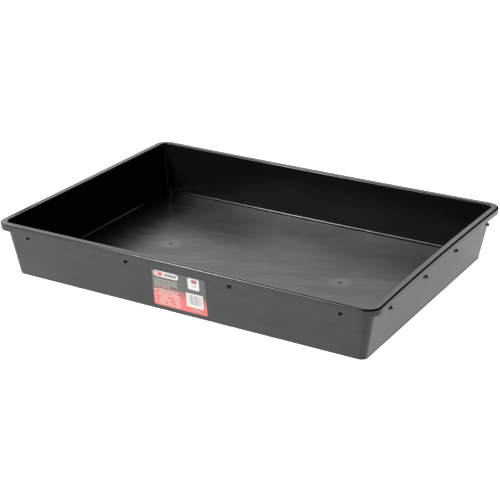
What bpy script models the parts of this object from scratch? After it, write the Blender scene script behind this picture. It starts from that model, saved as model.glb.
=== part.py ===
"""Oil drain pan: one injection-moulded plastic tray with a printed label on its front wall.

Metres, +Z up. The origin is the middle of the underside, +X runs along the long side and the
front wall, which carries the label, faces -Y. The long walls are the front and the back, the
short walls the left (-X) and the right (+X).
"""
import math
from collections import namedtuple

import bmesh
import bpy
from mathutils import Matrix, Vector

# Driving dimensions of the tray
LENGTH = 0.620                      # over the rim's corners, along X
WIDTH = 0.450                       # over the rim's corners, along Y
HEIGHT = 0.0833                     # underside to the top of the rim
SHELL = 0.0026                      # wall, floor and rim thickness
WALL_OVERHANG = 0.0089              # rim edge to the walls' outer faces, at the top
SHORT_WALL_FOOT = 0.0232            # rim edge to the short walls' outer faces, at the underside
LONG_WALL_FOOT = 0.0206             # rim edge to the long walls' outer faces, at the underside
SKIRT_DEPTH = 0.0104                # how far the rim's edge hangs down
SKIRT_DRAFT = 0.0007                # how far the skirt leans in at its bottom
FOOT_CORNER_RADIUS = 0.0095         # outer corners in plan, at the underside
RIM_CORNER_RADIUS = 0.0214          # and at the rim's edge

# The cooling plastic draws the middle of each side in, fully at the rim and not at all at the foot
FRONT_BOW = 0.0018
BACK_BOW = 0.0029
LEFT_BOW = 0.0006
RIGHT_BOW = 0.0029

# Rounded edges of the section
FOOT_ROUND = 0.0032                 # wall to floor
RIM_ROUND = 0.0027                  # outer edge of the flat rim
LIP_ROUND = 0.0018                  # inner edge of the flat rim
HEM_ROUND = 0.0008                  # lower edge of the skirt
ROUND_SEGMENTS = 3
CORNER_SEGMENTS = 8
SIDE_SEGMENTS = 8

# Stacking lugs on the outside of the walls
LUG_HALF_WIDTH = 0.0035
LUG_REACH = 0.0042                  # wall to tip
LUG_TIP_DROP = 0.0030               # how far its top slopes down to the tip
LUG_DROP = 0.0036                   # top of the lug to its lower edge at the wall
LUG_SUNK = 0.0012                   # how deep its root goes into the wall
LONG_WALL_LUGS = (-0.257, -0.084, 0.086, 0.255)
LONG_WALL_LUG_HEIGHT = 0.0660
SHORT_WALL_LUGS = (-0.147, -0.029, 0.080, 0.200)
SHORT_WALL_LUG_HEIGHT = 0.0580

# Pits that the moulding gates leave in the floor
GATE_SPACING = 0.297
GATE_RADIUS = 0.0028
GATE_BOTTOM_RADIUS = 0.0016
GATE_DEPTH = 0.0006
GATE_SIDES = 16
GATE_CLEARANCE = 0.001              # the cutter reaches this far above the floor

# Label
LABEL_WIDTH = 0.088
LABEL_HEIGHT = 0.0575
LABEL_CORNER = 0.002
LABEL_CORNER_SEGMENTS = 4
LABEL_THICKNESS = 0.0003
LABEL_OFFSET_X = 0.0028             # its middle, from the tray's middle
LABEL_BOTTOM = 0.0070               # its lower edge, measured up the wall
CONTACT_GAP = 0.0003                # clearance between the label and the wall

# A ring of the tray's upper skin. The feet are its distances inside the rim's edge along X and Y,
# bow is its share of the sides' bow, and rounding is the radius of the edge along it.
Section = namedtuple("Section", "foot_x foot_y corner height bow rounding")


def wall_inset(foot, height):
    """Distance from the rim's edge to a wall's outer face at a height."""
    return foot + (WALL_OVERHANG - foot) * height / HEIGHT


def shell_across(foot):
    """Horizontal thickness of a wall that leans out from its foot."""
    return SHELL / math.cos(math.atan2(foot - WALL_OVERHANG, HEIGHT))


def bowed_rectangle(section):
    """Points of a section, anticlockwise from the right side: each side, then its corner."""
    half_x = LENGTH / 2 - section.foot_x
    half_y = WIDTH / 2 - section.foot_y
    sides = ((half_x, half_y, RIGHT_BOW), (half_y, half_x, BACK_BOW),
             (half_x, half_y, LEFT_BOW), (half_y, half_x, FRONT_BOW))
    points = []
    for quarter, (reach, half_side, bow) in enumerate(sides):
        turn = Matrix.Rotation(math.pi / 2 * quarter, 2)
        straight = half_side - section.corner
        for step in range(SIDE_SEGMENTS):
            along = straight * (2 * step / SIDE_SEGMENTS - 1)
            drawn_in = bow * section.bow * (1 - (along / straight) ** 2)
            points.append(turn @ Vector((reach - drawn_in, along)))
        for step in range(CORNER_SEGMENTS):
            angle = math.pi / 2 * step / CORNER_SEGMENTS
            centre = Vector((reach - section.corner, straight))
            points.append(turn @ (centre + section.corner * Vector((math.cos(angle), math.sin(angle)))))
    return points


def principled(name, colour, roughness):
    """A plastic or paper material."""
    material = bpy.data.materials.new(name)
    material.use_nodes = True
    shader = material.node_tree.nodes["Principled BSDF"]
    shader.inputs["Base Color"].default_value = (*colour, 1.0)
    shader.inputs["Roughness"].default_value = roughness
    shader.inputs["Metallic"].default_value = 0.0
    material.diffuse_color = (*colour, 1.0)
    return material


def new_object(name, shape, collection, material=None):
    """An object made from a bmesh, in a collection."""
    mesh = bpy.data.meshes.new(name)
    shape.to_mesh(mesh)
    shape.free()
    if material:
        mesh.materials.append(material)
    thing = bpy.data.objects.new(name, mesh)
    collection.objects.link(thing)
    return thing


def tray_sections():
    """Sections of the upper skin, from the floor's edge out to the skirt's lower edge."""
    return (
        Section(wall_inset(SHORT_WALL_FOOT, SHELL) + shell_across(SHORT_WALL_FOOT),
                wall_inset(LONG_WALL_FOOT, SHELL) + shell_across(LONG_WALL_FOOT),
                FOOT_CORNER_RADIUS - SHELL, SHELL, 0.0, FOOT_ROUND),
        Section(WALL_OVERHANG + shell_across(SHORT_WALL_FOOT),
                WALL_OVERHANG + shell_across(LONG_WALL_FOOT),
                RIM_CORNER_RADIUS - WALL_OVERHANG - SHELL, HEIGHT, 1.0, LIP_ROUND),
        Section(0.0, 0.0, RIM_CORNER_RADIUS, HEIGHT, 1.0, RIM_ROUND),
        Section(SKIRT_DRAFT, SKIRT_DRAFT, RIM_CORNER_RADIUS - SKIRT_DRAFT,
                HEIGHT - SKIRT_DEPTH, 1.0, HEM_ROUND),
    )


def tray_skin():
    """Open surface of the tray's upper side, lofted through its sections."""
    shape = bmesh.new()
    round_weight = shape.edges.layers.float.new("bevel_weight_edge")
    rings = []
    for section in tray_sections():
        outline = bowed_rectangle(section)
        rings.append([shape.verts.new((*point, section.height)) for point in outline])
    shape.faces.new(rings[0])
    for lower, upper in zip(rings, rings[1:]):
        for index in range(len(lower)):
            last = index - 1
            shape.faces.new((lower[last], upper[last], upper[index], lower[index]))
    for ring, section in zip(rings, tray_sections()):
        for index in range(len(ring)):
            edge = shape.edges.get((ring[index - 1], ring[index]))
            edge[round_weight] = section.rounding / FOOT_ROUND
    return shape


def lug_places():
    """Placement of every lug: its root on the wall, with its tip along local -Y."""
    half_x, half_y = LENGTH / 2, WIDTH / 2
    walls = (
        (Vector((0, -1, 0)), LONG_WALL_FOOT, FRONT_BOW, half_y, half_x),
        (Vector((0, 1, 0)), LONG_WALL_FOOT, BACK_BOW, half_y, half_x),
        (Vector((1, 0, 0)), SHORT_WALL_FOOT, RIGHT_BOW, half_x, half_y),
        (Vector((-1, 0, 0)), SHORT_WALL_FOOT, LEFT_BOW, half_x, half_y),
    )
    places = []
    for outward, foot, bow, half_reach, half_side in walls:
        on_long_wall = outward.x == 0
        height = LONG_WALL_LUG_HEIGHT if on_long_wall else SHORT_WALL_LUG_HEIGHT
        facing = Matrix.Rotation(math.atan2(outward.y, outward.x) + math.pi / 2, 4, "Z")
        for along in LONG_WALL_LUGS if on_long_wall else SHORT_WALL_LUGS:
            drawn_in = bow * height / HEIGHT * (1 - (along / half_side) ** 2)
            place = outward * (half_reach - wall_inset(foot, height) - drawn_in)
            place += Vector((abs(outward.y), abs(outward.x), 0)) * along
            place.z = height
            places.append(Matrix.Translation(place) @ facing)
    return places


def wall_lugs():
    """The lugs: each a wedge, three-sided in plan, sunk into its wall so that a union joins it."""
    shape = bmesh.new()
    half_root = LUG_HALF_WIDTH * (1 + LUG_SUNK / LUG_REACH)
    root_top = LUG_SUNK * LUG_TIP_DROP / LUG_REACH
    for place in lug_places():
        tip, left, right, left_low, right_low = [shape.verts.new(place @ Vector(point)) for point in (
            (0, -LUG_REACH, -LUG_TIP_DROP),
            (-half_root, LUG_SUNK, root_top), (half_root, LUG_SUNK, root_top),
            (-half_root, LUG_SUNK, -LUG_DROP), (half_root, LUG_SUNK, -LUG_DROP))]
        for corners in ((left, tip, right), (left, left_low, tip), (right, tip, right_low),
                        (left_low, right_low, tip), (left, right, right_low, left_low)):
            shape.faces.new(corners)
    return shape


def gate_pits():
    """Cutters for the two pits in the floor."""
    shape = bmesh.new()
    slope = (GATE_RADIUS - GATE_BOTTOM_RADIUS) / GATE_DEPTH
    depth = GATE_DEPTH + GATE_CLEARANCE
    for side in (-1, 1):
        middle = Vector((side * GATE_SPACING / 2, 0, SHELL - GATE_DEPTH + depth / 2))
        bmesh.ops.create_cone(
            shape, cap_ends=True, segments=GATE_SIDES, radius1=GATE_BOTTOM_RADIUS,
            radius2=GATE_BOTTOM_RADIUS + slope * depth, depth=depth,
            matrix=Matrix.Translation(middle))
    return shape


def combine(thing, name, operation, shape, tools):
    """A Boolean modifier on an object, with its tool kept out of sight."""
    tool = new_object(name, shape, tools)
    tool.hide_render = True
    tool.display_type = "WIRE"
    modifier = thing.modifiers.new(name, "BOOLEAN")
    modifier.operation = operation
    modifier.object = tool


def build_tray(parts, tools):
    """The moulded tray: a shell with a turned-down rim, rounded edges, lugs and gate pits."""
    plastic = principled("tray_plastic", (0.012, 0.012, 0.012), 0.32)
    tray = new_object("tray", tray_skin(), parts, plastic)

    shell = tray.modifiers.new("shell", "SOLIDIFY")
    shell.thickness = SHELL
    shell.offset = -1.0
    shell.solidify_mode = "NON_MANIFOLD"
    shell.nonmanifold_thickness_mode = "CONSTRAINTS"

    rounds = tray.modifiers.new("rounds", "BEVEL")
    rounds.limit_method = "WEIGHT"
    rounds.width = FOOT_ROUND
    rounds.segments = ROUND_SEGMENTS

    combine(tray, "wall_lugs", "UNION", wall_lugs(), tools)
    combine(tray, "gate_pits", "DIFFERENCE", gate_pits(), tools)
    tray.data.shade_smooth()
    tray.data.set_sharp_from_angle(angle=math.radians(30))


def label_sheet():
    """The label's outline as one face, in the XY plane."""
    shape = bmesh.new()
    half_x, half_y = LABEL_WIDTH / 2, LABEL_HEIGHT / 2
    corners = [shape.verts.new(place) for place in (
        (-half_x, -half_y, 0), (half_x, -half_y, 0), (half_x, half_y, 0), (-half_x, half_y, 0))]
    shape.faces.new(corners)
    bmesh.ops.bevel(shape, geom=corners, offset=LABEL_CORNER, segments=LABEL_CORNER_SEGMENTS,
                    profile=0.5, affect="VERTICES")
    return shape


def build_label(parts):
    """The label, laid against the middle of the sloping front wall."""
    paper = principled("label_print", (0.45, 0.09, 0.09), 0.4)
    label = new_object("label", label_sheet(), parts, paper)
    sheet = label.modifiers.new("sheet", "SOLIDIFY")
    sheet.thickness = LABEL_THICKNESS
    sheet.offset = 1.0

    wall_run = LONG_WALL_FOOT - WALL_OVERHANG - FRONT_BOW
    lean = math.atan2(wall_run, HEIGHT)
    up_the_wall = Vector((0, -math.sin(lean), math.cos(lean)))
    out_of_wall = Vector((0, -math.cos(lean), -math.sin(lean)))
    wall_foot = Vector((LABEL_OFFSET_X, LONG_WALL_FOOT - WIDTH / 2, 0))
    middle = LABEL_BOTTOM + LABEL_HEIGHT / 2
    label.location = wall_foot + up_the_wall * middle + out_of_wall * CONTACT_GAP
    label.rotation_euler = (math.pi / 2 + lean, 0, 0)


def main():
    for thing in list(bpy.data.objects):
        bpy.data.objects.remove(thing)
    parts = bpy.data.collections.new("oil_drain_pan")
    tools = bpy.data.collections.new("cutters")
    for collection in (parts, tools):
        bpy.context.scene.collection.children.link(collection)
    build_tray(parts, tools)
    build_label(parts)


main()
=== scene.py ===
"""Looks of the oil drain pan: the fine surface of its moulded tray, its printed label, and a studio.

Metres, +Z up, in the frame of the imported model: the origin is the middle of the underside, +X runs
along the long side and the front wall, which carries the label, faces -Y.
"""

import math
from collections import namedtuple

import bmesh
import bpy
from mathutils import Matrix, Vector


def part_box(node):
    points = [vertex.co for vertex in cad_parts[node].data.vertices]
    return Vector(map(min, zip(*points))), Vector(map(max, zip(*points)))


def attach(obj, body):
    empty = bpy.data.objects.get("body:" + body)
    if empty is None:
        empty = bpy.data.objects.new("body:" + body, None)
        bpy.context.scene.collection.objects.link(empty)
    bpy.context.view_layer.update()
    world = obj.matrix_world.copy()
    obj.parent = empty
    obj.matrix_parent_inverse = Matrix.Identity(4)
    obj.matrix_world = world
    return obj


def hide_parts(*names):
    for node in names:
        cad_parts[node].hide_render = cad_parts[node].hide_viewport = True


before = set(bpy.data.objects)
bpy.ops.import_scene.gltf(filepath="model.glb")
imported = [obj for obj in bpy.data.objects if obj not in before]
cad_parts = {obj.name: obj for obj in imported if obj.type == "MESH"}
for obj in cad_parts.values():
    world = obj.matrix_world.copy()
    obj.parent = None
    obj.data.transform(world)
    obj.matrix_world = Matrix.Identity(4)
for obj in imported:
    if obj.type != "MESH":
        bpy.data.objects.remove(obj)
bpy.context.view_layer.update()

# The tray's own box, and the section of its shell
TRAY_LOW, TRAY_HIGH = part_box("tray")
HEIGHT = TRAY_HIGH.z - TRAY_LOW.z   # underside to the top of the rim
SHELL = 0.0026                      # wall, floor and rim thickness
SKIRT_DEPTH = 0.0104                # how far the rim's edge hangs down
SKIRT_DRAFT = 0.0007                # how far the skirt leans in at its bottom
RIM_ROUND = 0.0027                  # outer edge of the flat rim
LIP_ROUND = 0.0022                  # inner edge of the flat rim
FLOOR_ROUND = 0.0034                # inner wall to floor
FOOT_ROUND = 0.0022                 # outer wall to underside
HEM_ROUND = 0.0008                  # lower edge of the skirt
NOOK_ROUND = 0.0008                 # the two inner corners under the rim
WIDEST_INSET = SKIRT_DRAFT * RIM_ROUND / SKIRT_DEPTH    # the skirt is widest just under that edge
HALF_X = (TRAY_HIGH.x - TRAY_LOW.x) / 2 + WIDEST_INSET  # middle to the rim's edge, before rounding
HALF_Y = (TRAY_HIGH.y - TRAY_LOW.y) / 2 + WIDEST_INSET
WALL_OVERHANG = 0.0089              # rim edge to the walls' outer faces, at the top
SHORT_WALL_FOOT = 0.0232            # rim edge to the short walls' outer faces, at the underside
LONG_WALL_FOOT = 0.0206             # rim edge to the long walls' outer faces, at the underside
FOOT_CORNER_RADIUS = 0.0095         # outer corners in plan, at the underside
RIM_CORNER_RADIUS = 0.0214          # and at the rim's edge
FLAT_STRIP = 0.005                  # width of the level strip beside the rounded edges of the floor

# The cooling plastic draws the middle of each side in, fully at the rim and not at all at the foot
FRONT_BOW = 0.0018
BACK_BOW = 0.0029
LEFT_BOW = 0.0006
RIGHT_BOW = 0.0029

WALL_LEAN = math.atan2(LONG_WALL_FOOT - WALL_OVERHANG - FRONT_BOW, HEIGHT)  # the front wall, mid-span

# Fineness of the tray's mesh
ROUND_SEGMENTS = 8
CORNER_SEGMENTS = 20
SHORT_SIDE_SEGMENTS = 30
LONG_SIDE_SEGMENTS = 40
WALL_ROWS = 4                       # rows of faces up each wall
LUG_ROUND_SEGMENTS = 3
GATE_SIDES = 48
SHARP_ANGLE = math.radians(35)      # edges sharper than this are shaded as edges

# Stacking lugs on the outside of the walls
LUG_HALF_WIDTH = 0.0039
LUG_REACH = 0.0042                  # wall to tip
LUG_TIP_DROP = 0.0034               # how far its top slopes down to the tip
LUG_DROP = 0.0042                   # top of the lug to its lower edge at the wall
LUG_SUNK = 0.0012                   # how deep its root goes into the wall
LUG_ROUND = 0.0003                  # the edges that meet at its tip
LONG_WALL_LUGS = (-0.257, -0.084, 0.086, 0.255)     # X of each
LONG_WALL_LUG_HEIGHT = 0.0660       # its top, at the wall
SHORT_WALL_LUGS = (-0.147, -0.029, 0.080, 0.200)    # Y of each
SHORT_WALL_LUG_HEIGHT = 0.0580

# Pits that the moulding gates leave in the floor, and the rings of their cutter, down to its bottom
GATE_SPACING = 0.297
GATE_DEPTH = 0.00072
GATE_RINGS = ((0.0036, 0.0003), (0.0031, 0.00004), (0.0026, -0.00022), (0.0019, -0.0006),
              (0.0011, -0.0007))    # radius, and height over the floor

# Label
LABEL_WIDTH = 0.088
LABEL_HEIGHT = 0.0575
LABEL_CORNER = 0.002
LABEL_THICKNESS = 0.00024
LABEL_OFFSET_X = 0.0028             # its middle, from the tray's middle
LABEL_BOTTOM = 0.0070               # its lower edge, measured up the wall
LABEL_LIFT = 0.00004                # its back, off the wall
LABEL_COLUMNS = 44
LABEL_ROWS = 30

# Noise: its frequency along X, Y and Z, its detail, the roughness of that, and its distortion
Noise = namedtuple("Noise", "frequency detail roughness distortion")
FLOW_STREAKS = Noise((5.0, 90.0, 90.0), 3.0, 0.60, 0.4)
CLOUDS = Noise((11.0, 11.0, 11.0), 3.0, 0.55, 0.0)
WIPES = Noise((13.0, 140.0, 1.0), 4.0, 0.60, 0.0)
SWIRLS = Noise((9.0, 34.0, 1.0), 3.0, 0.55, 0.5)
SCRATCHES = Noise((16.0, 900.0, 1.0), 2.0, 0.50, 0.0)
RESIDUE_PATCHES = Noise((30.0, 4.0, 1.0), 3.0, 0.50, 0.0)
SCUFFS = Noise((160.0, 160.0, 400.0), 4.0, 0.70, 0.0)
GRAIN = Noise((1500.0, 1500.0, 1500.0), 2.0, 0.60, 0.0)
PRINT_WEAR = Noise((0.9, 0.9, 0.9), 4.0, 0.70, 0.0)             # per millimetre, as the next one
LABEL_RIPPLES = Noise((0.09, 0.09, 0.09), 3.0, 0.50, 0.0)

# Where marks lie on the tray: the two values between which each goes from nothing to full
UP_FACING = (0.90, 0.99)            # Z of the surface's normal
BLOOM_EDGE = (0.022, 0.011)         # distance from a gate
PIT_EDGE = (0.0038, 0.0028)         # distance from a gate
# From this X on, the floor gets a warm tone that is partly a film and partly painted sheen.
FILM_SHEEN_START = (-0.24, -0.10)         # X
RESIDUE_START = (0.15, 0.20)        # Y
RESIDUE_SHARE = (0.35, 0.65)        # its noise
RUBBED_START = (HEIGHT - RIM_ROUND, HEIGHT - RIM_ROUND / 4)     # Z
RUBBED_SHARE = (0.60, 0.72)         # its noise
SCRATCH_SHARE = (0.66, 0.76)        # its noise
WIPE_ANGLE = math.radians(30)       # the way the floor has been wiped, from the long side
POLISH_EDGE = (0.09, 0.01)          # distance from its middle, after the stretch
POLISH_MIDDLE = (0.03, 0.08, 0.0)
POLISH_STRETCH = (0.8, 1.5, 1.0)
DUST_EDGE = (0.035, 0.02)           # distance from a speck's middle, in cells
DUST_CELLS = 95.0                   # cells a metre, some with a speck
DUST_CHOICE = 0.72                  # cells whose chance is under this have none

# Black plastic: its two tones, and what each mark lays over them: its name, colour and strength
PLASTIC = ((0.0050, 0.0050, 0.0049, 1), (0.0075, 0.0074, 0.0070, 1))
MARK_TONES = (
    # The first lifts the floor's right part: partly a warm film, partly painted sheen.
    ("film_and_sheen", (0.0150, 0.0137, 0.0100, 1), 1.0),
    ("residue", (0.030, 0.027, 0.022, 1), 0.8),
    ("bloom", (0.040, 0.039, 0.036, 1), 0.25),
    ("rubbed", (0.035, 0.035, 0.034, 1), 0.35),
    ("dust", (0.10, 0.10, 0.095, 1), 0.5),
)
PLAIN_TINT = (1.0, 1.0, 1.0, 1)
OILED_TINT = (1.0, 0.985, 0.94, 1)

# What its haze, roughness and specular level are made of. Four numbers are two values of a noise,
# or of X at the dull end, and what they become. One number is what a mark adds where it is full.
FILM_SHEEN_CLOUDS = (0.2, 0.8, 0.75, 1.0)
ROUGHNESS_STREAKS = (0.30, 0.70, 0.11, 0.15)
ROUGHNESS_CLOUDS = (0.35, 0.65, -0.012, 0.012)
ROUGHNESS_FLOOR = 0.12
ROUGHNESS_RUBBED = 0.12
ROUGHNESS_BLOOM = 0.03
SPECULAR_PLAIN = 0.5                # without any marks
SPECULAR_WIPES = (0.34, 0.66, -0.08, 0.08)
SPECULAR_SWIRLS = (0.34, 0.66, -0.10, 0.10)
SPECULAR_STREAKS = (0.35, 0.65, -0.025, 0.025)
SPECULAR_CLOUDS = (0.30, 0.70, -0.025, 0.025)
SPECULAR_DULL_END = (-0.16, -0.23, 0.02, -0.20)
SPECULAR_BLOOM = 0.45
SPECULAR_RESIDUE = 0.16
SPECULAR_POLISH = 0.55
SPECULAR_PIT = -0.5

# How high its bumps stand
GRAIN_HEIGHT = 0.000004
SCRATCH_HEIGHT = 0.000005
CLOUD_HEIGHT = 0.00025

# Label print: generic marks in place of a name and text, in millimetres from its lower left corner.
# Rows are of short bars: the lower left corner of the lowest row, the size of one, their number,
# the pitch from row to row and the step from bar to bar. A block is a rounded rectangle.
Rows = namedtuple("Rows", "corner size count pitch word seed")
Block = namedtuple("Block", "centre size corner")
GREY = (0.074, 0.073, 0.070, 1)
RED = (0.56, 0.119, 0.114, 1)
FADED_RED = (0.57, 0.33, 0.33, 1)
DULL_RED = (0.36, 0.11, 0.12, 1)
WHITE = (0.58, 0.575, 0.565, 1)
PALE = (0.57, 0.44, 0.39, 1)
BEIGE = (0.33, 0.31, 0.26, 1)
DARK = (0.13, 0.11, 0.11, 1)
DULL_GREY = (0.20, 0.20, 0.20, 1)
INK = (0.08, 0.08, 0.08, 1)
WEAR = (0.34, 0.335, 0.32, 1)
PRINT = (
    (Rows((2.2, 31.2), (39.0, 1.7), 4, 3.35, 5.2, 2.3), BEIGE),
    (Rows((8.2, 2.6), (36.0, 1.5), 9, 2.95, 4.3, 1.7), PALE),
    (Rows((1.6, 4.6), (4.6, 3.0), 4, 6.1, 5.6, 0.0), FADED_RED),
    (Rows((61.5, 3.4), (17.0, 1.3), 2, 2.8, 4.8, 3.1), BEIGE),
    (Block((23.1, 51.3), (41.6, 9.4), 4.6), WHITE),             # capsule
    (Block((10.8, 51.3), (14.0, 6.6), 3.2), RED),
    (Block((8.0, 51.3), (4.4, 4.4), 2.1), WHITE),
    (Rows((20.5, 49.5), (20.5, 3.6), 1, 3.7, 4.6, 0.0), DARK),
    (Block((68.5, 47.0), (18.6, 18.2), 2.2), WHITE),            # badge
    (Block((69.7, 51.0), (9.0, 5.8), 0.8), DULL_RED),
    (Block((69.9, 43.8), (6.4, 1.4), 0.5), DULL_GREY),
    (Block((68.8, 20.3), (27.6, 22.0), 0.8), WHITE),            # ground of the stripes
)
STRIPES = Block((69.4, 21.2), (21.4, 15.6), 0.2)
STRIPE_WIDTH = 0.42
STRIPE_CHOICE = 0.45                # stripes whose chance is over this are printed
STRIPE_STRENGTH = 0.72
PRINT_EDGE = 0.10                   # softness of the printed edges
WORD_SHARE = 0.86                   # length of a printed bar, against its step
WORD_SOFTNESS = 0.08                # how much of a step its end takes to fade
WORD_GAPS = 0.12                    # share of the bars left out
ROW_OFFSET = 9.0                    # how far the rows are shifted against each other, in steps
RED_FADE = (33.0, 17.0)             # heights on the label where its ground is grey, and is red
FADE_SINKS = (78.0, 88.0, 0.0, 5.0)             # two places along it, and how much lower they are there
FILM_WEAR = (0.45, 0.8, 0.0, 0.10)              # two values of the wear, and how much of it shows
FILM_ROUGHNESS = (0.3, 0.7, 0.26, 0.36)         # two values of the wear, and the roughness there
RIPPLE_HEIGHT = 0.00035
WEAR_HEIGHT = 0.000008

# Camera
LENS = 102.1
SENSOR = 36.0
VIEW_AZIMUTH = math.radians(30.11)
VIEW_ELEVATION = math.radians(22.66)
VIEW_ROLL = math.radians(0.10)
VIEW_DISTANCE = 2.155
VIEW_AIM = Vector((-0.0078, 0.0051, 0.0199))    # what it points at

# Studio: softboxes by azimuth round the tray, elevation, width and height in degrees, and radiance
LIGHT_DISTANCE = 2.5
SOFTBOXES = (
    ("back_left", 209, 29, 34, 28, 1.4),
    ("left", 262, 33, 64, 34, 1.9),
    ("front_left", 302, 27, 18, 24, 1.7),
    ("key", 329, 37, 15, 20, 11.5),
    ("key_spread", 332, 37, 40, 30, 2.6),
    ("edge_light", 318, 46, 8, 8, 42.0),
)
FLOOR_SIZE = 12.0                   # half of the floor's side, and the backdrop's radius
FLOOR_GAP = 0.0002                  # floor to the tray's underside
FLOOR_TONE = (0.85, 0.85, 0.85, 1)
FLOOR_ROUGHNESS = 0.45
# The floor's glow is missing under the tray and rises over a thin band round its foot: a painted contact
# shadow.
FLOOR_GLOW = 0.98                   # none of it under the tray
PAINTED_SHADOW_EDGE = 0.0004                  # outside the tray's foot, where the glow is full
BACKDROP_SIDES = 64
ROOM_LIGHT = 0.03

# A ring of the tray's section. The insets are its distances inside the rim's edge along X and Y,
# bow is its share of the sides' bow, and rounding is the radius of the edge along it.
Section = namedtuple("Section", "inset_x inset_y corner height bow rounding")


# ---------------------------------------------------------------- meshes

def wall_inset(foot, height):
    """Distance from the rim's edge to a wall's outer face at a height."""
    return foot + (WALL_OVERHANG - foot) * height / HEIGHT


def shell_across(foot):
    """Horizontal thickness of a wall that leans out from its foot."""
    return SHELL / math.cos(math.atan2(foot - WALL_OVERHANG, HEIGHT))


def section_corners():
    """The corners of the tray's section, from the floor over the rim and back to the underside."""
    floor_x = wall_inset(SHORT_WALL_FOOT, SHELL) + shell_across(SHORT_WALL_FOOT)
    floor_y = wall_inset(LONG_WALL_FOOT, SHELL) + shell_across(LONG_WALL_FOOT)
    floor_corner = FOOT_CORNER_RADIUS - SHELL
    skirt_foot = HEIGHT - SKIRT_DEPTH
    under_rim = HEIGHT - SHELL
    inner_draft = SKIRT_DRAFT * (under_rim - skirt_foot) / SKIRT_DEPTH
    skirt_inside = SHELL + SKIRT_DRAFT - inner_draft
    return (
        Section(floor_x + FLAT_STRIP, floor_y + FLAT_STRIP, floor_corner - FLAT_STRIP,
                SHELL, 0.0, 0.0),
        Section(floor_x, floor_y, floor_corner, SHELL, 0.0, FLOOR_ROUND),
        Section(WALL_OVERHANG + shell_across(SHORT_WALL_FOOT),
                WALL_OVERHANG + shell_across(LONG_WALL_FOOT),
                RIM_CORNER_RADIUS - WALL_OVERHANG - SHELL, HEIGHT, 1.0, LIP_ROUND),
        Section(0.0, 0.0, RIM_CORNER_RADIUS, HEIGHT, 1.0, RIM_ROUND),
        Section(SKIRT_DRAFT, SKIRT_DRAFT, RIM_CORNER_RADIUS - SKIRT_DRAFT,
                skirt_foot, 1.0, HEM_ROUND),
        Section(SKIRT_DRAFT + SHELL, SKIRT_DRAFT + SHELL, RIM_CORNER_RADIUS - SKIRT_DRAFT - SHELL,
                skirt_foot, 1.0, HEM_ROUND),
        Section(skirt_inside, skirt_inside, RIM_CORNER_RADIUS - skirt_inside,
                under_rim, 1.0, NOOK_ROUND),
        Section(wall_inset(SHORT_WALL_FOOT, under_rim), wall_inset(LONG_WALL_FOOT, under_rim),
                RIM_CORNER_RADIUS - WALL_OVERHANG, under_rim, 1.0, NOOK_ROUND),
        Section(SHORT_WALL_FOOT, LONG_WALL_FOOT, FOOT_CORNER_RADIUS, 0.0, 0.0, FOOT_ROUND),
        Section(SHORT_WALL_FOOT + FLAT_STRIP, LONG_WALL_FOOT + FLAT_STRIP,
                FOOT_CORNER_RADIUS - FLAT_STRIP, 0.0, 0.0, 0.0),
    )


def between(start, end, share):
    """The section at a share of the way from one to another."""
    return Section(*(a + (b - a) * share for a, b in zip(start, end)))


def in_plane(start, end):
    """The step from one section to another as inset and height."""
    return Vector((end.inset_y - start.inset_y, end.height - start.height))


def rounded(before, corner, after):
    """Sections along the arc that rounds a corner: a rational quadratic curve, which is a true arc."""
    back, ahead = in_plane(corner, before), in_plane(corner, after)
    turn = math.pi - back.angle(ahead)
    cut = corner.rounding * math.tan(turn / 2)
    start = between(corner, before, cut / back.length)
    end = between(corner, after, cut / ahead.length)
    weight = math.cos(turn / 2)
    arc = []
    for step in range(ROUND_SEGMENTS + 1):
        t = step / ROUND_SEGMENTS
        shares = ((1 - t) ** 2, 2 * weight * t * (1 - t), t ** 2)
        total = sum(shares)
        arc.append(Section(*(
            sum(share * value for share, value in zip(shares, values)) / total
            for values in zip(start, corner, end))))
    return arc


def section_rings():
    """Every ring of the tray's mesh, in order along its section."""
    corners = section_corners()
    rings = [corners[0]]
    for before, corner, after in zip(corners, corners[1:], corners[2:]):
        arc = rounded(before, corner, after)
        up_a_wall = abs(arc[0].height - rings[-1].height) > HEIGHT / 2
        if up_a_wall:
            rings += [between(rings[-1], arc[0], row / WALL_ROWS) for row in range(1, WALL_ROWS)]
        rings += arc
    return rings + [corners[-1]]


def bowed_rectangle(section):
    """Points of a ring, anticlockwise from the right side: each side, then its corner."""
    half_x, half_y = HALF_X - section.inset_x, HALF_Y - section.inset_y
    sides = ((half_x, half_y, RIGHT_BOW, SHORT_SIDE_SEGMENTS),
             (half_y, half_x, BACK_BOW, LONG_SIDE_SEGMENTS),
             (half_x, half_y, LEFT_BOW, SHORT_SIDE_SEGMENTS),
             (half_y, half_x, FRONT_BOW, LONG_SIDE_SEGMENTS))
    points = []
    for quarter, (reach, half_side, bow, steps) in enumerate(sides):
        turn = Matrix.Rotation(math.pi / 2 * quarter, 2)
        straight = half_side - section.corner
        for step in range(steps):
            along = straight * (2 * step / steps - 1)
            drawn_in = bow * section.bow * (1 - (along / straight) ** 2)
            points.append(turn @ Vector((reach - drawn_in, along)))
        centre = Vector((reach - section.corner, straight))
        for step in range(CORNER_SEGMENTS):
            angle = math.pi / 2 * step / CORNER_SEGMENTS
            spoke = Vector((math.cos(angle), math.sin(angle)))
            points.append(turn @ (centre + section.corner * spoke))
    return points


def new_object(name, shape):
    """An object made from a bmesh, shaded smooth."""
    mesh = bpy.data.meshes.new(name)
    shape.to_mesh(mesh)
    shape.free()
    mesh.shade_smooth()
    thing = bpy.data.objects.new(name, mesh)
    bpy.context.scene.collection.objects.link(thing)
    return thing


def loft(shape, rings):
    """Faces from each ring of vertices to the next."""
    for ring, following in zip(rings, rings[1:]):
        for index in range(len(ring)):
            last = index - 1
            shape.faces.new((ring[last], following[last], following[index], ring[index]))


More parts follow.
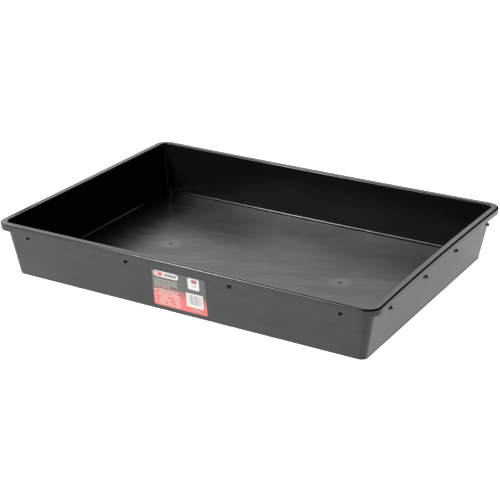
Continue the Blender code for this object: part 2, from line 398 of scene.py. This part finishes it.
def tray_shell():
    """The closed shell of the tray, lofted through the rings of its section."""
    shape = bmesh.new()
    rings = []
    for section in section_rings():
        rings.append([shape.verts.new((*point, section.height)) for point in bowed_rectangle(section)])
    shape.faces.new(rings[0])
    loft(shape, rings)
    shape.faces.new(reversed(rings[-1]))
    return shape


def lug_places():
    """Placement of every lug: its root on the wall, with its tip along local -Y."""
    walls = (
        (Vector((0, -1, 0)), LONG_WALL_FOOT, FRONT_BOW, HALF_Y, HALF_X),
        (Vector((0, 1, 0)), LONG_WALL_FOOT, BACK_BOW, HALF_Y, HALF_X),
        (Vector((1, 0, 0)), SHORT_WALL_FOOT, RIGHT_BOW, HALF_X, HALF_Y),
        (Vector((-1, 0, 0)), SHORT_WALL_FOOT, LEFT_BOW, HALF_X, HALF_Y),
    )
    places = []
    for outward, foot, bow, half_reach, half_side in walls:
        on_long_wall = outward.x == 0
        height = LONG_WALL_LUG_HEIGHT if on_long_wall else SHORT_WALL_LUG_HEIGHT
        facing = Matrix.Rotation(math.atan2(outward.y, outward.x) + math.pi / 2, 4, "Z")
        for along in LONG_WALL_LUGS if on_long_wall else SHORT_WALL_LUGS:
            drawn_in = bow * height / HEIGHT * (1 - (along / half_side) ** 2)
            place = outward * (half_reach - wall_inset(foot, height) - drawn_in)
            place += Vector((abs(outward.y), abs(outward.x), 0)) * along
            place.z = height
            places.append(Matrix.Translation(place) @ facing)
    return places


def wall_lugs():
    """The lugs: each a wedge, three-sided in plan, whose top slopes down to its tip."""
    shape = bmesh.new()
    half_root = LUG_HALF_WIDTH * (1 + LUG_SUNK / LUG_REACH)
    root_top = LUG_SUNK * LUG_TIP_DROP / LUG_REACH
    for place in lug_places():
        tip, left, right, left_low, right_low = [shape.verts.new(place @ Vector(point)) for point in (
            (0, -LUG_REACH, -LUG_TIP_DROP),
            (-half_root, LUG_SUNK, root_top), (half_root, LUG_SUNK, root_top),
            (-half_root, LUG_SUNK, -LUG_DROP), (half_root, LUG_SUNK, -LUG_DROP))]
        for corners in ((left, tip, right), (left, left_low, tip), (right, tip, right_low),
                        (left_low, right_low, tip), (left, right, right_low, left_low)):
            shape.faces.new(corners)
        bmesh.ops.bevel(shape, geom=tip.link_edges[:], offset=LUG_ROUND,
                        segments=LUG_ROUND_SEGMENTS, profile=0.5, affect="EDGES")
    return shape


def gate_pits():
    """Cutters for the two dished pits in the floor."""
    shape = bmesh.new()
    turns = [2 * math.pi * step / GATE_SIDES for step in range(GATE_SIDES)]
    for side in (-1, 1):
        middle = Vector((side * GATE_SPACING / 2, 0, SHELL))
        rings = []
        for radius, height in GATE_RINGS:
            ring = [Vector((radius * math.cos(turn), radius * math.sin(turn), height)) for turn in turns]
            rings.append([shape.verts.new(middle + point) for point in ring])
        bottom = shape.verts.new(middle - Vector((0, 0, GATE_DEPTH)))
        shape.faces.new(rings[0])
        loft(shape, rings)
        for index in range(GATE_SIDES):
            shape.faces.new((rings[-1][index - 1], bottom, rings[-1][index]))
    return shape


def combine(thing, name, operation, shape):
    """Joins or cuts a shape with an object's mesh for good."""
    tool = new_object(name, shape)
    modifier = thing.modifiers.new(name, "BOOLEAN")
    modifier.operation = operation
    modifier.object = tool
    bpy.context.view_layer.objects.active = thing
    bpy.ops.object.modifier_apply(modifier=modifier.name)
    bpy.data.objects.remove(tool)


def build_tray():
    """The moulded tray with its lugs and gate pits."""
    tray = new_object("tray_moulding", tray_shell())
    tray.data.materials.append(black_plastic())
    combine(tray, "wall_lugs", "UNION", wall_lugs())
    combine(tray, "gate_pits", "DIFFERENCE", gate_pits())
    tray.data.set_sharp_from_angle(angle=SHARP_ANGLE)
    normals = tray.modifiers.new("normals", "WEIGHTED_NORMAL")
    normals.keep_sharp = True
    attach(tray, "root")
    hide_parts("tray")


def label_half_width(height):
    """Half of the label's width at a height above its middle, less towards its rounded corners."""
    past_straight = abs(height) - (LABEL_HEIGHT / 2 - LABEL_CORNER)
    if past_straight <= 0:
        return LABEL_WIDTH / 2
    return LABEL_WIDTH / 2 - LABEL_CORNER + math.sqrt(max(LABEL_CORNER ** 2 - past_straight ** 2, 0))


def on_front_wall(x, up, lift):
    """A point off the front wall's outer face, from its X and its distance up the wall."""
    height = up * math.cos(WALL_LEAN)
    sag = FRONT_BOW * height / HEIGHT * (1 - (x / HALF_X) ** 2)
    y = wall_inset(LONG_WALL_FOOT, height) + sag - HALF_Y
    return Vector((x, y - lift * math.cos(WALL_LEAN), height - lift * math.sin(WALL_LEAN)))


def label_side(shape, uv_spots, lift):
    """One side of the label as rows of vertices. It notes where each lies on the print."""
    grid = []
    for row in range(LABEL_ROWS + 1):
        up = -math.cos(math.pi * row / LABEL_ROWS) * LABEL_HEIGHT / 2
        line = []
        for column in range(LABEL_COLUMNS + 1):
            across = (2 * column / LABEL_COLUMNS - 1) * label_half_width(up)
            point = on_front_wall(LABEL_OFFSET_X + across, LABEL_BOTTOM + LABEL_HEIGHT / 2 + up, lift)
            vertex = shape.verts.new(point)
            uv_spots[vertex] = (across / LABEL_WIDTH + 0.5, up / LABEL_HEIGHT + 0.5)
            line.append(vertex)
        grid.append(line)
    return grid


def outline(grid):
    """The vertices round the outside of a grid, in order."""
    first, *_, last = grid
    right = [line[-1] for line in grid[1:]]
    left = [line[0] for line in grid[-2:0:-1]]
    return first + right + last[-2::-1] + left


def label_sheet():
    """The label as a thin closed sheet that follows the wall, with its print laid out in UVs."""
    shape = bmesh.new()
    uv = shape.loops.layers.uv.new("print")
    uv_spots = {}
    front = label_side(shape, uv_spots, LABEL_LIFT + LABEL_THICKNESS)
    back = label_side(shape, uv_spots, LABEL_LIFT)
    for row in range(LABEL_ROWS):
        for column in range(LABEL_COLUMNS):
            for grid, flip in ((front, 1), (back, -1)):
                corners = (grid[row][column], grid[row][column + 1],
                           grid[row + 1][column + 1], grid[row + 1][column])
                shape.faces.new(corners[::flip])
    loft(shape, [outline(front), outline(back)])
    for face in shape.faces:
        for loop in face.loops:
            loop[uv].uv = uv_spots[loop.vert]
    return shape


def build_label():
    """The printed label on the front wall."""
    label = new_object("front_label", label_sheet())
    label.data.set_sharp_from_angle(angle=SHARP_ANGLE)
    label.data.materials.append(printed_film())
    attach(label, "root")
    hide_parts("label")


# ---------------------------------------------------------------- materials

class Nodes:
    """Short calls that add nodes to a new material and link them."""

    def __init__(self, name):
        self.material = bpy.data.materials.new(name)
        self.material.use_nodes = True
        self.tree = self.material.node_tree
        self.shader = self.tree.nodes["Principled BSDF"]

    def feed(self, socket, value):
        """Links a socket's value, or sets a plain one."""
        if isinstance(value, bpy.types.NodeSocket):
            self.tree.links.new(value, socket)
        else:
            socket.default_value = value

    def add(self, kind, *values, **settings):
        """A node with its first inputs fed in order."""
        node = self.tree.nodes.new("ShaderNode" + kind)
        for name, value in settings.items():
            setattr(node, name, value)
        for socket, value in zip(node.inputs, values):
            self.feed(socket, value)
        return node

    def math(self, operation, *values):
        """A sum on plain values."""
        return self.add("Math", *values, operation=operation).outputs[0]

    def vector(self, operation, *values):
        """A sum on vectors."""
        outputs = self.add("VectorMath", *values, operation=operation).outputs
        return outputs["Value"] if operation == "LENGTH" else outputs["Vector"]

    def total(self, *values):
        """Values added up."""
        result, *others = values
        for value in others:
            result = self.math("ADD", result, value)
        return result

    def product(self, *values):
        """Values multiplied together."""
        result, *others = values
        for value in others:
            result = self.math("MULTIPLY", result, value)
        return result

    def parts(self, vector):
        """The X, Y and Z of a vector."""
        return self.add("SeparateXYZ", vector).outputs

    def join(self, x, y, z=0.0):
        """A vector from its X, Y and Z."""
        return self.add("CombineXYZ", x, y, z).outputs[0]

    def noise(self, place, kind):
        """Noise of one of the kinds named above, from 0 to 1 and mostly near the middle."""
        node = self.add("TexNoise", self.vector("MULTIPLY", place, kind.frequency))
        node.inputs["Scale"].default_value = 1.0
        node.inputs["Detail"].default_value = kind.detail
        node.inputs["Roughness"].default_value = kind.roughness
        node.inputs["Distortion"].default_value = kind.distortion
        return node.outputs[0]

    def remap(self, value, low, high, to_low=0.0, to_high=1.0, curve="SMOOTHSTEP"):
        """A value carried from one range to another, held at the ends."""
        return self.add("MapRange", value, low, high, to_low, to_high,
                        interpolation_type=curve, clamp=True).outputs[0]

    def mix(self, share, under, over):
        """One colour laid over another."""
        node = self.add("Mix", data_type="RGBA")
        self.feed(node.inputs[0], share)
        self.feed(node.inputs[6], under)
        self.feed(node.inputs[7], over)
        return node.outputs[2]

    def bump(self, height, distance, under=None):
        """A normal from a height in shares of a distance, over another normal if there is one."""
        node = self.add("Bump")
        node.inputs["Strength"].default_value = 1.0
        node.inputs["Distance"].default_value = distance
        self.feed(node.inputs["Height"], height)
        if under:
            self.feed(node.inputs["Normal"], under)
        return node.outputs[0]

    def outside(self, place, centre, size, corner):
        """Distance from the outline of a rounded rectangle, for what lies outside it."""
        arm = [side / 2 - corner for side in size] + [0.0]
        off_centre = self.vector("ABSOLUTE", self.vector("SUBTRACT", place, (*centre, 0.0)))
        beyond = self.vector("MAXIMUM", self.vector("SUBTRACT", off_centre, arm), (0.0, 0.0, 0.0))
        return self.math("SUBTRACT", self.vector("LENGTH", beyond), corner)

    def block(self, place, centre, size, corner):
        """1 inside a rounded rectangle on the label, in millimetres, and 0 outside it."""
        distance = self.outside(place, centre, size, corner)
        return self.remap(distance, -PRINT_EDGE, PRINT_EDGE, 1.0, 0.0)

    def rows(self, place, corner, size, count, pitch, word, seed):
        """1 inside the bars of rows that stand in for text, and 0 between them."""
        x, y, _ = self.parts(self.vector("SUBTRACT", place, (*corner, 0.0)))
        width, height = size
        row = self.math("FLOOR", self.math("DIVIDE", y, pitch))
        across = self.math("SUBTRACT", y, self.math("MULTIPLY", row, pitch))
        start = self.add("TexWhiteNoise", self.join(row, seed), noise_dimensions="3D").outputs[0]
        step = self.total(self.math("DIVIDE", x, word), self.product(start, ROW_OFFSET))
        cell = self.math("FLOOR", step)
        along = self.math("SUBTRACT", step, cell)
        chance = self.add("TexWhiteNoise", self.join(cell, row, seed), noise_dimensions="3D").outputs[0]
        middle = (corner[0] + width / 2, corner[1] + count * pitch / 2)
        return self.product(
            self.math("GREATER_THAN", chance, WORD_GAPS),
            self.remap(along, WORD_SHARE, WORD_SHARE - WORD_SOFTNESS),
            self.remap(across, height + PRINT_EDGE, height - PRINT_EDGE),
            self.block(place, middle, (width, count * pitch), PRINT_EDGE))


def distance_from_gate(nodes, place):
    """How far the nearer gate is."""
    x, y, _ = nodes.parts(place)
    gate = nodes.join(nodes.math("SUBTRACT", nodes.math("ABSOLUTE", x), GATE_SPACING / 2), y)
    return nodes.vector("LENGTH", gate)


def wipe_marks(nodes, turned):
    """Broad wipe marks across the floor, as a change of its specular level."""
    return nodes.total(nodes.remap(nodes.noise(turned, WIPES), *SPECULAR_WIPES),
                       nodes.remap(nodes.noise(turned, SWIRLS), *SPECULAR_SWIRLS))


def polished_patch(nodes, place):
    """A patch of the floor that wiping has left shinier."""
    off_middle = nodes.vector("SUBTRACT", place, POLISH_MIDDLE)
    distance = nodes.vector("LENGTH", nodes.vector("MULTIPLY", off_middle, POLISH_STRETCH))
    return nodes.remap(distance, *POLISH_EDGE)


def dust_specks(nodes, place):
    """Sparse round specks."""
    cells = nodes.add("TexVoronoi", place, feature="F1")
    cells.inputs["Scale"].default_value = DUST_CELLS
    chance = nodes.parts(cells.outputs["Color"])[0]
    return nodes.product(nodes.remap(cells.outputs["Distance"], *DUST_EDGE),
                         nodes.math("GREATER_THAN", chance, DUST_CHOICE))


def plastic_marks(nodes, place):
    """The marks that moulding and use have left on the tray, and a painted sheen on the floor, by name.
    """
    x, y, z = nodes.parts(place)
    facing_up = nodes.remap(nodes.parts(nodes.add("NewGeometry").outputs["Normal"])[2], *UP_FACING)
    on_floor = nodes.product(facing_up, nodes.math("LESS_THAN", z, 2 * SHELL))
    from_gate = distance_from_gate(nodes, place)
    turned = nodes.add("VectorRotate", place, (0.0, 0.0, 0.0), (0.0, 0.0, 1.0), -WIPE_ANGLE).outputs[0]
    clouds = nodes.noise(place, CLOUDS)
    return {
        "on_floor": on_floor,
        "clouds": clouds,
        "streaks": nodes.noise(place, FLOW_STREAKS),
        "bloom": nodes.product(nodes.remap(from_gate, *BLOOM_EDGE), on_floor),
        "pit": nodes.remap(from_gate, *PIT_EDGE),
        "wipes": nodes.product(wipe_marks(nodes, turned), on_floor),
        "scratches": nodes.product(nodes.remap(nodes.noise(turned, SCRATCHES), *SCRATCH_SHARE), on_floor),
        "polish": nodes.product(polished_patch(nodes, place), on_floor),
        "dull_end": nodes.product(nodes.remap(x, *SPECULAR_DULL_END), on_floor),
        # A warm film on the floor's right part, whose tone there is also painted sheen.
        "film_and_sheen": nodes.product(nodes.remap(x, *FILM_SHEEN_START), on_floor, nodes.remap(clouds, *FILM_SHEEN_CLOUDS)),
        "residue": nodes.product(nodes.remap(y, *RESIDUE_START), on_floor,
                                 nodes.remap(nodes.noise(place, RESIDUE_PATCHES), *RESIDUE_SHARE)),
        "rubbed": nodes.product(nodes.remap(nodes.noise(place, SCUFFS), *RUBBED_SHARE),
                                nodes.remap(z, *RUBBED_START)),
        "dust": nodes.product(dust_specks(nodes, place), facing_up),
    }


def plastic_tone(nodes, marks):
    """The plastic's colour, with its marks, painted sheen among them, laid over it one after another."""
    tone = nodes.mix(marks["clouds"], *PLASTIC)
    for name, tint, strength in MARK_TONES:
        tone = nodes.mix(nodes.product(marks[name], strength), tone, tint)
    return tone


def plastic_roughness(nodes, marks):
    """Satin, smoother on the walls than on the floor."""
    return nodes.total(
        nodes.remap(marks["streaks"], *ROUGHNESS_STREAKS),
        nodes.product(marks["on_floor"], ROUGHNESS_FLOOR),
        nodes.remap(marks["clouds"], *ROUGHNESS_CLOUDS),
        nodes.product(marks["rubbed"], ROUGHNESS_RUBBED),
        nodes.product(marks["bloom"], ROUGHNESS_BLOOM))


def plastic_specular(nodes, marks):
    """The specular level, which shows the marks that can't be seen by colour on black."""
    return nodes.total(
        marks["wipes"],
        SPECULAR_PLAIN,
        nodes.product(marks["bloom"], SPECULAR_BLOOM),
        nodes.product(marks["residue"], SPECULAR_RESIDUE),
        marks["dull_end"],
        nodes.product(marks["polish"], SPECULAR_POLISH),
        nodes.remap(marks["streaks"], *SPECULAR_STREAKS),
        nodes.remap(marks["clouds"], *SPECULAR_CLOUDS),
        nodes.product(marks["pit"], SPECULAR_PIT))


def plastic_bumps(nodes, place, marks):
    """The normal: fine grain, hairline scratches and broad unevenness."""
    normal = nodes.bump(nodes.noise(place, GRAIN), GRAIN_HEIGHT)
    normal = nodes.bump(marks["scratches"], SCRATCH_HEIGHT, under=normal)
    return nodes.bump(marks["clouds"], CLOUD_HEIGHT, under=normal)


def black_plastic():
    """Injection-moulded black plastic, with flow marks, the marks of use, and a painted sheen over the
    right of the floor.
    """
    nodes = Nodes("black_plastic")
    place = nodes.add("TexCoord").outputs["Object"]
    marks = plastic_marks(nodes, place)
    sockets = nodes.shader.inputs
    nodes.feed(sockets["Base Color"], plastic_tone(nodes, marks))
    nodes.feed(sockets["Roughness"], plastic_roughness(nodes, marks))
    nodes.feed(sockets["Specular IOR Level"], plastic_specular(nodes, marks))
    nodes.feed(sockets["Specular Tint"], nodes.mix(marks["film_and_sheen"], PLAIN_TINT, OILED_TINT))
    nodes.feed(sockets["Normal"], plastic_bumps(nodes, place, marks))
    return nodes.material


def printed_marks(nodes, place, colour):
    """The label's marks, each laid over the colour under it."""
    for mark, tint in PRINT:
        draw = nodes.rows if isinstance(mark, Rows) else nodes.block
        colour = nodes.mix(draw(place, *mark), colour, tint)
    chance = nodes.add("TexWhiteNoise", noise_dimensions="1D")
    stripe = nodes.math("FLOOR", nodes.math("DIVIDE", nodes.parts(place)[0], STRIPE_WIDTH))
    nodes.feed(chance.inputs["W"], stripe)
    stripes = nodes.product(nodes.math("GREATER_THAN", chance.outputs[0], STRIPE_CHOICE),
                            nodes.block(place, *STRIPES), STRIPE_STRENGTH)
    return nodes.mix(stripes, colour, INK)


def printed_film():
    """The label's film: a grey ground that turns red, with its marks, a little worn and rippled."""
    nodes = Nodes("printed_film")
    uv = nodes.add("UVMap", uv_map="print").outputs[0]
    place = nodes.vector("MULTIPLY", uv, (LABEL_WIDTH * 1000, LABEL_HEIGHT * 1000, 0.0))
    x, y, _ = nodes.parts(place)
    up = nodes.total(y, nodes.remap(x, *FADE_SINKS))
    ground = nodes.mix(nodes.remap(up, *RED_FADE, curve="LINEAR"), GREY, RED)
    worn = nodes.noise(place, PRINT_WEAR)
    colour = nodes.mix(nodes.remap(worn, *FILM_WEAR), printed_marks(nodes, place, ground), WEAR)
    ripples = nodes.bump(nodes.noise(place, LABEL_RIPPLES), RIPPLE_HEIGHT)
    sockets = nodes.shader.inputs
    nodes.feed(sockets["Base Color"], colour)
    nodes.feed(sockets["Roughness"], nodes.remap(worn, *FILM_ROUGHNESS))
    nodes.feed(sockets["Normal"], nodes.bump(worn, WEAR_HEIGHT, under=ripples))
    return nodes.material


# ---------------------------------------------------------------- scene

def direction(azimuth, elevation):
    """The way from the tray to where something stands round it: azimuth 0 is the front, 90 the right."""
    return Vector((math.sin(azimuth) * math.cos(elevation),
                   -math.cos(azimuth) * math.cos(elevation),
                   math.sin(elevation)))


def build_camera():
    """The camera, aimed at the tray from the front right."""
    data = bpy.data.cameras.new("camera")
    data.lens = LENS
    data.sensor_width = SENSOR
    camera = bpy.data.objects.new("camera", data)
    back = direction(VIEW_AZIMUTH, VIEW_ELEVATION)
    aim = (-back).to_track_quat("-Z", "Y").to_matrix().to_4x4()
    camera.matrix_world = (Matrix.Translation(VIEW_AIM + back * VIEW_DISTANCE) @ aim
                           @ Matrix.Rotation(VIEW_ROLL, 4, "Z"))
    bpy.context.scene.collection.objects.link(camera)
    bpy.context.scene.camera = camera


def build_softbox(name, azimuth, elevation, width, height, radiance):
    """A rectangular softbox that faces the tray and shows only as light and reflection."""
    data = bpy.data.lights.new(name, "AREA")
    data.shape = "RECTANGLE"
    data.size = 2 * LIGHT_DISTANCE * math.tan(math.radians(width / 2))
    data.size_y = 2 * LIGHT_DISTANCE * math.tan(math.radians(height / 2))
    data.energy = radiance * math.pi * data.size * data.size_y
    light = bpy.data.objects.new(name, data)
    towards = direction(math.radians(azimuth), math.radians(elevation))
    light.location = towards * LIGHT_DISTANCE
    light.rotation_mode = "QUATERNION"
    light.rotation_quaternion = towards.to_track_quat("Z", "Y")
    light.visible_camera = False
    bpy.context.scene.collection.objects.link(light)


def build_floor():
    """A wide pale floor, level with the tray's underside, that glows evenly except under the tray and in
    a thin band round its foot, where the missing glow is a painted contact shadow.
    """
    shape = bmesh.new()
    bmesh.ops.create_grid(shape, x_segments=1, y_segments=1, size=FLOOR_SIZE)
    floor = new_object("floor", shape)
    floor.location.z = TRAY_LOW.z - FLOOR_GAP
    nodes = Nodes("floor_paper")
    foot = (2 * (HALF_X - SHORT_WALL_FOOT), 2 * (HALF_Y - LONG_WALL_FOOT))
    from_tray = nodes.outside(nodes.add("TexCoord").outputs["Object"], (0.0, 0.0), foot,
                              FOOT_CORNER_RADIUS)
    # The glow fades out at the tray's foot and is missing under it: a painted contact shadow.
    glow_with_painted_shadow = nodes.remap(from_tray, 0.0, PAINTED_SHADOW_EDGE, 0.0, FLOOR_GLOW)
    nodes.feed(nodes.shader.inputs["Emission Strength"], glow_with_painted_shadow)
    nodes.shader.inputs["Base Color"].default_value = FLOOR_TONE
    nodes.shader.inputs["Roughness"].default_value = FLOOR_ROUGHNESS
    nodes.shader.inputs["Emission Color"].default_value = (1, 1, 1, 1)
    floor.data.materials.append(nodes.material)


def build_backdrop():
    """A pale wall all round, far behind the lights, that shows only in the picture."""
    shape = bmesh.new()
    bmesh.ops.create_cone(shape, segments=BACKDROP_SIDES, radius1=FLOOR_SIZE, radius2=FLOOR_SIZE,
                          depth=2 * FLOOR_SIZE)
    backdrop = new_object("backdrop", shape)
    paper = bpy.data.materials.new("backdrop_paper")
    paper.use_nodes = True
    shader = paper.node_tree.nodes["Principled BSDF"]
    shader.inputs["Base Color"].default_value = (0, 0, 0, 1)
    shader.inputs["Specular IOR Level"].default_value = 0.0
    shader.inputs["Emission Color"].default_value = (1, 1, 1, 1)
    shader.inputs["Emission Strength"].default_value = 1.0
    backdrop.data.materials.append(paper)
    backdrop.visible_diffuse = False
    backdrop.visible_glossy = False
    backdrop.visible_shadow = False


def build_world():
    """The dim room round the lights."""
    world = bpy.data.worlds.new("studio")
    bpy.context.scene.world = world
    world.use_nodes = True
    background = world.node_tree.nodes["Background"]
    background.inputs["Color"].default_value = (1, 1, 1, 1)
    background.inputs["Strength"].default_value = ROOM_LIGHT
    bpy.context.scene.view_settings.view_transform = "Standard"


build_camera()
build_tray()
build_label()
build_floor()
build_backdrop()
build_world()
for softbox in SOFTBOXES:
    build_softbox(*softbox)
